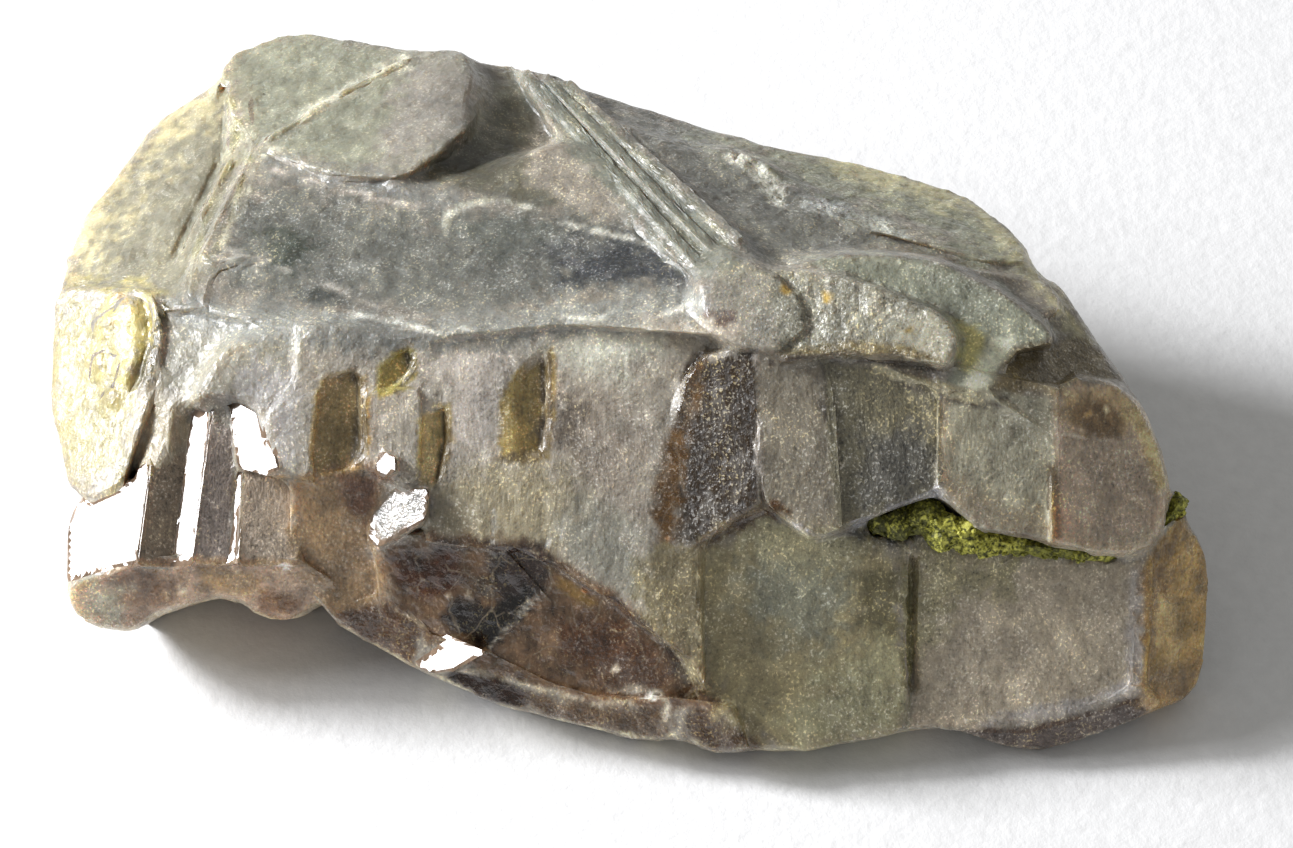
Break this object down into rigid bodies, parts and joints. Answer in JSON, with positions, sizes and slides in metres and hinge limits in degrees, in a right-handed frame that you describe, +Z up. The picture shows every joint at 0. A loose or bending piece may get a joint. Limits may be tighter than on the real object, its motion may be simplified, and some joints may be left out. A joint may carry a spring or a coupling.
{
  "type": "axinite crystal specimen",
  "caption": "Broken flat wedge of grown axinite crystal plates, stepped and frosted in front, with brown glassy facets and a seam of green chlorite; lies on its flat underside.",
  "frame": {"origin": "centre of the object's box, on the plane that it rests on", "axes": "+X along the crystal's length from the pale end to the amber end, +Y away from the broad stepped face, +Z up from the resting plane"},
  "size_m": [0.0306, 0.0212, 0.0105],
  "materials": {
    "axinite": "frosted grey-brown crystal with clear clove-brown glassy facets",
    "chlorite": "granular yellow-green"
  },
  "bodies": {
    "root": {"axinite_crystal": "axinite", "chlorite_seam": "chlorite"}
  },
  "joints": []
}
